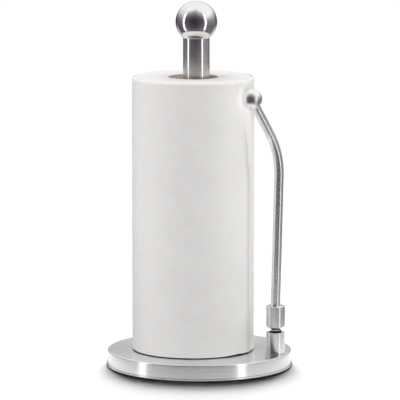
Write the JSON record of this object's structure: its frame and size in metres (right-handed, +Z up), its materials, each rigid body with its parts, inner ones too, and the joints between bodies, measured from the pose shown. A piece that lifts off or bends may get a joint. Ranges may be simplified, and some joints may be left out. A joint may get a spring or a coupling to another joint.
{
  "type": "paper towel holder",
  "caption": "Upright paper towel holder: weighted round base, ball-topped post with a loaded roll, and a sprung side arm whose ball tip presses on the roll so that sheets tear off cleanly.",
  "frame": {"origin": "on the table, at the middle of the round base", "axes": "+Z up along the post, +X towards the arm's pivot"},
  "size_m": [0.1916, 0.1916, 0.3765],
  "materials": {
    "brushed_steel": "fine satin brushed stainless",
    "polished_steel": "polished stainless",
    "zinc_steel": "zinc plated fasteners",
    "spring_steel": "black oxide, oiled",
    "cast_iron": "as cast",
    "rubber": "matte",
    "nylon": "natural nylon",
    "core_board": "spiral wound board",
    "tissue": "white embossed tissue"
  },
  "bodies": {
    "base": {"base_shell": "brushed_steel", "base_weight": "cast_iron", "base_pad": "rubber", "post_bolt": "zinc_steel", "post_lock_washer": "zinc_steel", "post_washer": "zinc_steel", "post_plug": "zinc_steel", "post_tube": "brushed_steel", "post_cap_plug": "zinc_steel", "finial_stud": "zinc_steel", "finial_ball": "polished_steel", "arm_bolt": "zinc_steel", "arm_lock_washer": "zinc_steel", "arm_washer": "zinc_steel", "lower_barrel": "polished_steel", "pivot_bolt": "zinc_steel", "spring_sleeve": "zinc_steel", "thrust_washer": "nylon", "torsion_spring": "spring_steel"},
    "arm": {"upper_barrel": "polished_steel", "rod_screw": "spring_steel", "arm_rod": "polished_steel", "arm_ball": "polished_steel"},
    "roll_core": {"cardboard_core": "core_board"},
    "roll": {"paper_roll": "tissue"}
  },
  "joints": [
    {"name": "arm_swivel", "type": "hinge", "parent": "base", "child": "arm", "pos_m": [0.082, 0, 0.044], "axis": [0, 0, 1], "range_deg": [0, 110], "stiffness_Nm_per_rad": 0.25, "springref_deg": -34.38, "deforming": ["torsion_spring"]},
    {"name": "roll_lift", "type": "slide", "parent": "base", "child": "roll_core", "axis": [0, 0, 1], "range_m": [0, 0.36]},
    {"name": "roll_spin", "type": "hinge", "parent": "roll_core", "child": "roll", "pos_m": [-0.0068, 0, 0.16], "axis": [0, 0, 1], "continuous": true}
  ]
}
